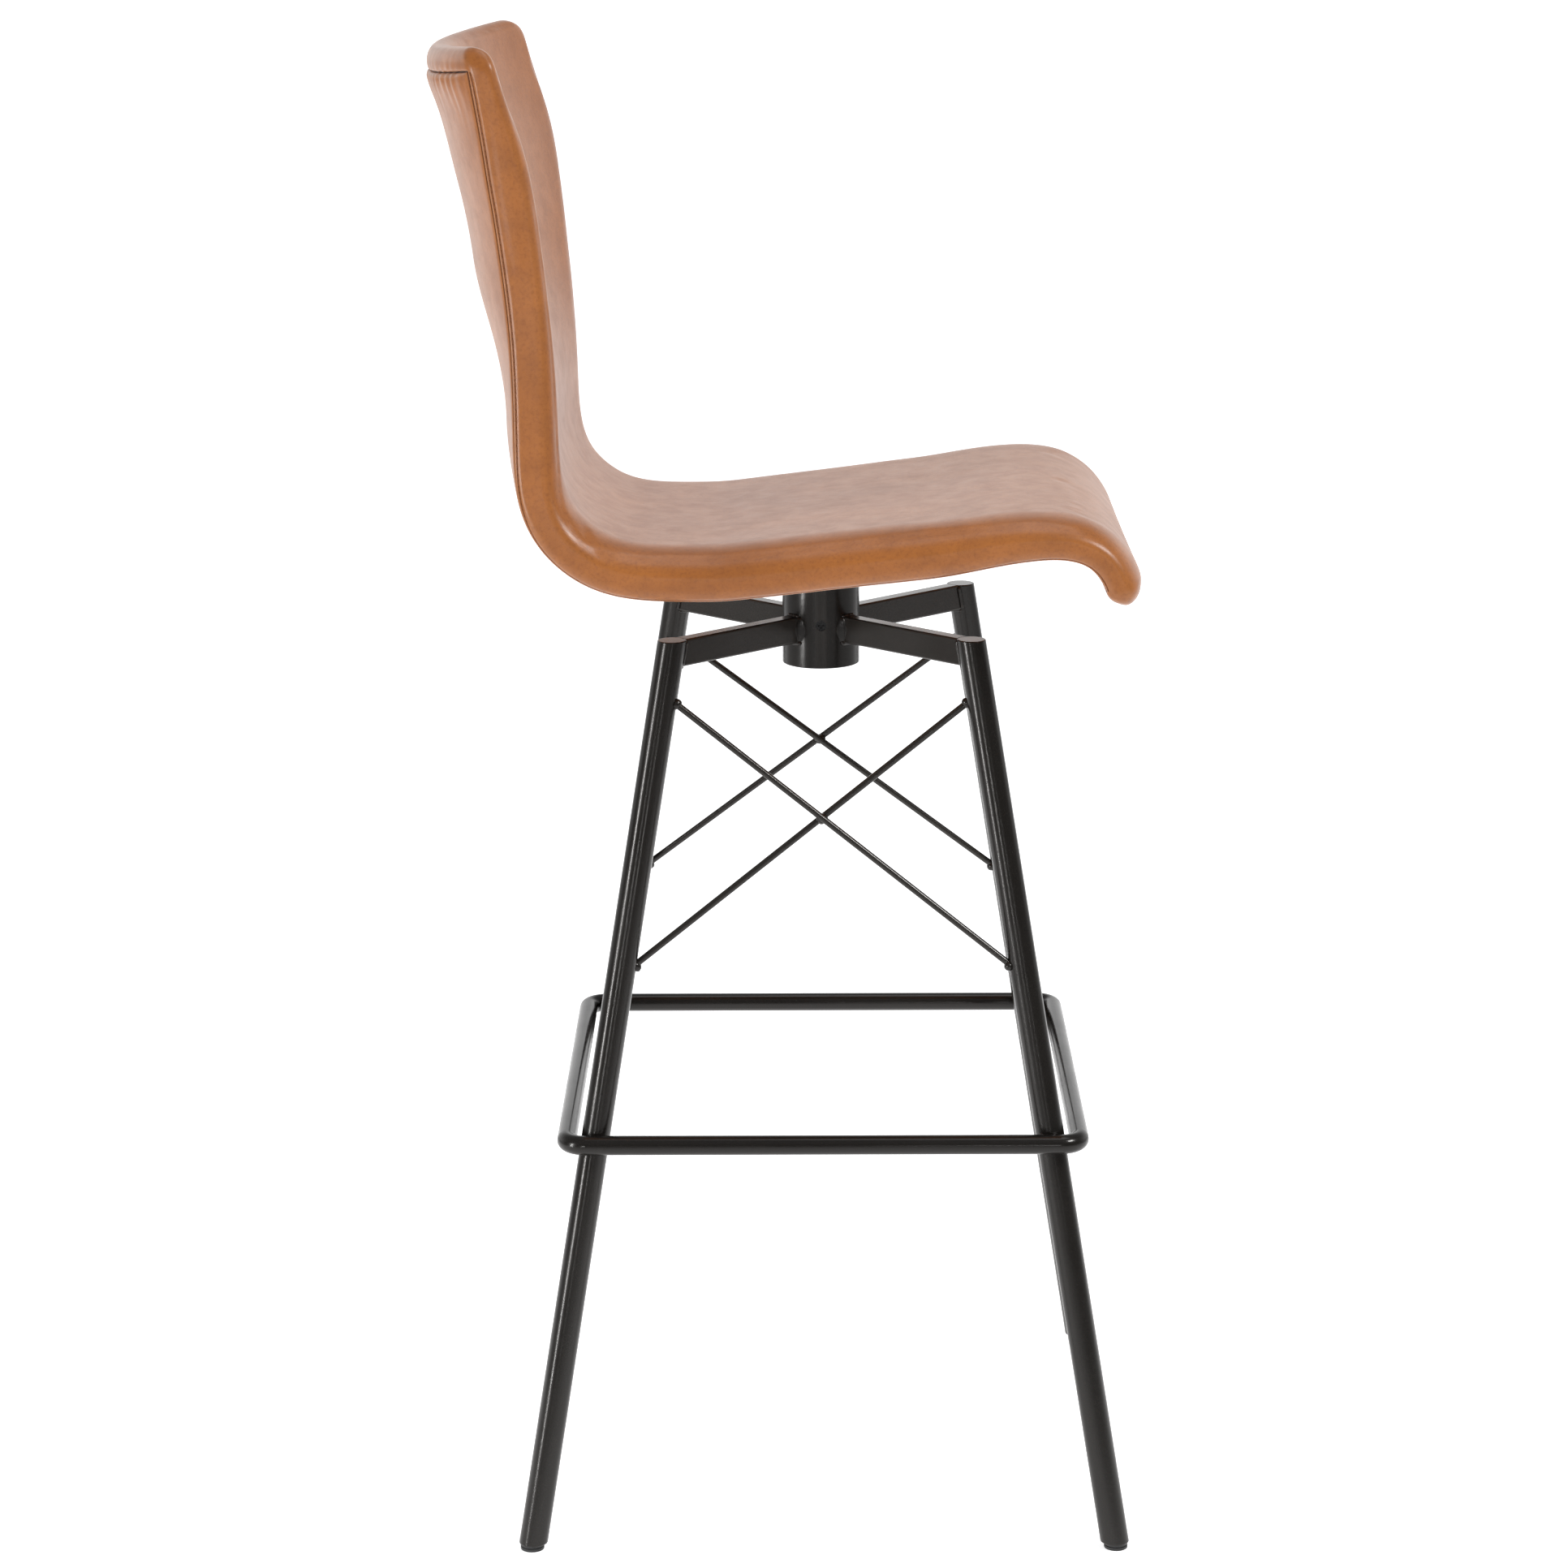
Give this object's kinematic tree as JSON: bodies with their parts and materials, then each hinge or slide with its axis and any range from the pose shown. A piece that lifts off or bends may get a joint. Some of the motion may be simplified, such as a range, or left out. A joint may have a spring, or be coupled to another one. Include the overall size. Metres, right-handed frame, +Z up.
{
  "type": "bar stool",
  "caption": "Upholstered bar stool: a bent seat and back in one padded shell, swivelling on a slim welded steel base with splayed legs and a footrest ring.",
  "frame": {"origin": "on the floor, at the middle of the stool's outline seen from above; the swivel axis is 28.5 mm in front of it", "axes": "+Z up, +X to the stool's front, +Y to the sitter's left"},
  "size_m": [0.515, 0.452, 1.0966],
  "materials": {
    "frame_steel": "satin dark bronze powder coat",
    "glide_plastic": "matte",
    "bush_plastic": "matte",
    "fastener_steel": "zinc plated",
    "plywood": "raw",
    "foam": "open cell foam",
    "leather": "semi-matt tan leather with a fine grain"
  },
  "bodies": {
    "base": {"hub_tube": "frame_steel", "leg_front_left": "frame_steel", "leg_rear_left": "frame_steel", "leg_rear_right": "frame_steel", "leg_front_right": "frame_steel", "leg_cap_front_left": "frame_steel", "leg_cap_rear_left": "frame_steel", "leg_cap_rear_right": "frame_steel", "leg_cap_front_right": "frame_steel", "glide_front_left": "glide_plastic", "glide_rear_left": "glide_plastic", "glide_rear_right": "glide_plastic", "glide_front_right": "glide_plastic", "arm_front_left": "frame_steel", "arm_rear_left": "frame_steel", "arm_rear_right": "frame_steel", "arm_front_right": "frame_steel", "footrest_ring": "frame_steel", "brace_rod_front_outer": "frame_steel", "brace_rod_front_inner": "frame_steel", "brace_rod_left_outer": "frame_steel", "brace_rod_left_inner": "frame_steel", "brace_rod_rear_outer": "frame_steel", "brace_rod_rear_inner": "frame_steel", "brace_rod_right_outer": "frame_steel", "brace_rod_right_inner": "frame_steel", "hub_bush_upper": "bush_plastic", "hub_bush_lower": "bush_plastic", "thrust_washer": "bush_plastic", "retaining_screw": "fastener_steel"},
    "seat": {"swivel_stem": "frame_steel", "swivel_plate": "frame_steel", "plate_bolts": "fastener_steel", "plate_washers": "fastener_steel", "tee_nuts": "fastener_steel", "seat_shell": "plywood", "rear_foam": "foam", "seat_foam": "foam", "front_cover": "leather", "back_cover": "leather"}
  },
  "joints": [
    {"name": "seat_swivel", "type": "hinge", "parent": "base", "child": "seat", "pos_m": [0.0285, 0, 0.66], "axis": [0, 0, 1], "continuous": true}
  ]
}
